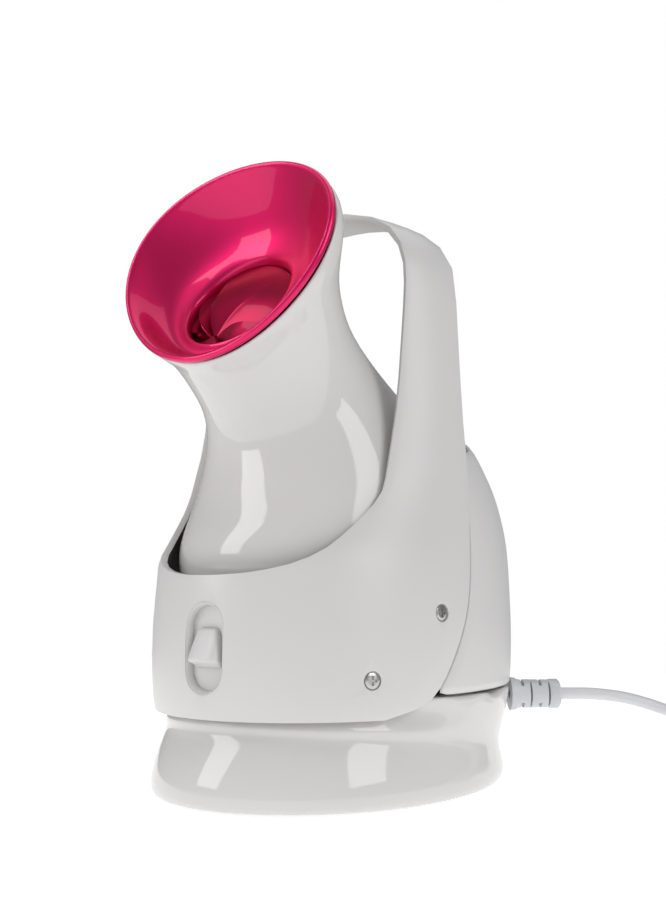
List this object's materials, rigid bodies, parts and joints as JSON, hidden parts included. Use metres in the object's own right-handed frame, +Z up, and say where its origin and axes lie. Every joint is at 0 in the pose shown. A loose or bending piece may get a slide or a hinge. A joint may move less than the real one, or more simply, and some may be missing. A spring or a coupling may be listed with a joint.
{
  "type": "facial steamer",
  "caption": "Tabletop facial steamer with a forward-leaning neck, a flared tinted mouth, a carrying arch over the neck, a front slide switch and a mains lead.",
  "frame": {"origin": "on the table, under the middle of the body's box, leaving out the cord", "axes": "+Z up; the mouth and the switch face -Y, the arch stands over X = 0, and the cord leaves towards +X and +Y"},
  "size_m": [0.2407, 0.2965, 0.245],
  "materials": {
    "white_housing": "satin white ABS",
    "gloss_housing": "glossy white ABS",
    "tinted_funnel": "magenta metallised clear plastic, polished",
    "switch_knob": "satin white ABS",
    "screw_steel": "nickel-plated steel",
    "foot_rubber": "soft black rubber",
    "seal_rubber": "silicone",
    "cord_sheath": "pale grey flexible PVC",
    "plug_body": "pale grey moulded PVC",
    "pin_brass": "bare brass pins",
    "inner_plastic": "grey heat-resistant nylon",
    "inner_metal": "plain aluminium",
    "circuit_board": "green board lacquer",
    "component": "black and blue component cases"
  },
  "bodies": {
    "housing": {"foot_base": "gloss_housing", "base_plate": "white_housing", "front_wrap": "white_housing", "back_cover": "white_housing", "steam_tower": "gloss_housing", "steam_pipe": "inner_plastic", "switch_plate": "white_housing", "slide_switch": "component", "boiler_stand": "inner_plastic", "heater_plate": "inner_metal", "water_tank": "inner_plastic", "tank_seal": "seal_rubber", "tank_lid": "inner_plastic", "thermostat": "inner_metal", "thermal_fuse": "inner_metal", "control_board": "circuit_board", "transformer": "component", "ioniser_module": "component", "relay": "component", "cord_clamp": "inner_plastic", "strain_relief": "cord_sheath", "mains_cord": "cord_sheath", "cord_coil": "cord_sheath", "cord_tie": "cord_sheath", "mains_plug": "plug_body", "rubber_foot_1": "foot_rubber", "base_screw_1": "screw_steel", "side_screw_1": "screw_steel", "board_post_1": "inner_plastic", "rubber_foot_2": "foot_rubber", "base_screw_2": "screw_steel", "side_screw_2": "screw_steel", "board_post_2": "inner_plastic", "rubber_foot_3": "foot_rubber", "base_screw_3": "screw_steel", "side_screw_3": "screw_steel", "board_post_3": "inner_plastic", "rubber_foot_4": "foot_rubber", "base_screw_4": "screw_steel", "side_screw_4": "screw_steel", "board_post_4": "inner_plastic", "capacitor_1": "component", "plug_pin_1": "pin_brass", "capacitor_2": "component", "plug_pin_2": "pin_brass"},
    "switch_slide": {"switch_knob": "switch_knob"},
    "funnel": {"nozzle_funnel": "tinted_funnel", "throat_vanes": "tinted_funnel", "funnel_seal": "seal_rubber"}
  },
  "joints": [
    {"name": "switch_slide", "type": "slide", "parent": "housing", "child": "switch_slide", "axis": [0, 0, 1], "range_m": [-0.0035, 0.0035]},
    {"name": "funnel_pull", "type": "slide", "parent": "housing", "child": "funnel", "axis": [0, -0.7071, 0.7071], "range_m": [0, 0.08]}
  ]
}
